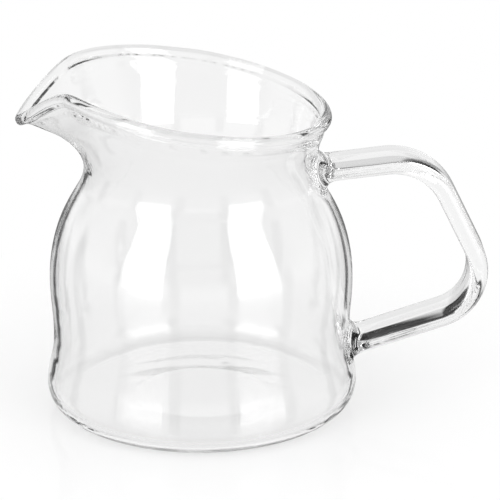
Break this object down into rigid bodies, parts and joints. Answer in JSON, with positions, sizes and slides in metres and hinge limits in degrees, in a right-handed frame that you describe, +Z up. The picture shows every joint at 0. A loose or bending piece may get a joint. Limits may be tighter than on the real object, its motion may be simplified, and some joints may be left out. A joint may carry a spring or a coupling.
{
  "type": "milk jug",
  "caption": "Clear one-piece blown glass milk jug with a slanted beaded rim, drawn pouring lip, waisted round body and a bent bar handle opposite the lip.",
  "frame": {"origin": "centre of the flat base, on the jug's upright axis", "axes": "+Z up along the jug's axis, +X towards the handle, -X towards the pouring lip, XZ the plane of symmetry"},
  "size_m": [0.1292, 0.086, 0.0952],
  "materials": {
    "clear_glass": "clear, fire-polished borosilicate glass"
  },
  "bodies": {
    "root": {"glass_jug": "clear_glass"}
  },
  "joints": []
}
